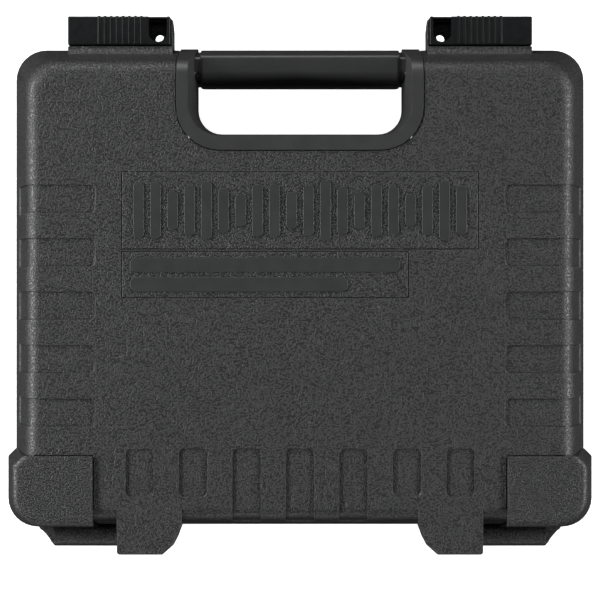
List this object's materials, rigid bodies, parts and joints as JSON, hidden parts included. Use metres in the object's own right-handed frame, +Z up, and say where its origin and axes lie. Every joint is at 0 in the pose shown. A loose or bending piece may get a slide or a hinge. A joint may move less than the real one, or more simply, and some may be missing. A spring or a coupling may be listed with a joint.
{
  "type": "hard-shell pedalboard case",
  "caption": "Moulded hard-shell pedalboard case with a carrying handle, sliding latches, hinged lid and foam bays for compact effect pedals.",
  "frame": {"origin": "below the middle of the bounding box, on the surface that the rubber feet stand on", "axes": "+Z up through the base and then the lid; +X across the case along the handle; +Y from the handle and latches to the hinges"},
  "size_m": [0.3024, 0.2732, 0.1],
  "materials": {
    "grained_abs": "dark grey moulded plastic with a pebble grain",
    "smooth_abs": "dark grey moulded plastic, smooth satin",
    "latch_plastic": "near-black plastic, satin",
    "steel": "zinc-plated",
    "rubber": "matt",
    "foam": "open-cell foam, matt"
  },
  "bodies": {
    "base": {"base_foam_floor": "foam", "base_foam_frame": "foam", "base_guard_left": "grained_abs", "base_guard_right": "grained_abs", "base_handle_half": "smooth_abs", "base_handle_screw_1": "steel", "base_handle_screw_2": "steel", "base_handle_screw_3": "steel", "base_handle_screw_4": "steel", "base_shell": "grained_abs", "foam_divider_left": "foam", "foam_divider_right": "foam", "foot_front_left": "rubber", "foot_front_right": "rubber", "foot_rear_left": "rubber", "foot_rear_right": "rubber", "hinge_pin_left": "steel", "hinge_pin_right": "steel"},
    "lid": {"lid_foam_pad": "foam", "lid_guard_left": "grained_abs", "lid_guard_right": "grained_abs", "lid_handle_half": "smooth_abs", "lid_handle_screw_1": "steel", "lid_handle_screw_2": "steel", "lid_handle_screw_3": "steel", "lid_handle_screw_4": "steel", "lid_shell": "grained_abs"},
    "latch_left": {"latch_left": "latch_plastic"},
    "latch_right": {"latch_right": "latch_plastic"}
  },
  "joints": [
    {"name": "lid_hinge", "type": "hinge", "parent": "base", "child": "lid", "pos_m": [0, 0.13125, 0.0545], "axis": [-1, 0, 0], "range_deg": [0, 105]},
    {"name": "latch_left_slide", "type": "slide", "parent": "lid", "child": "latch_left", "axis": [-1, 0, 0], "range_m": [0, 0.012]},
    {"name": "latch_right_slide", "type": "slide", "parent": "lid", "child": "latch_right", "axis": [1, 0, 0], "range_m": [0, 0.012]}
  ]
}
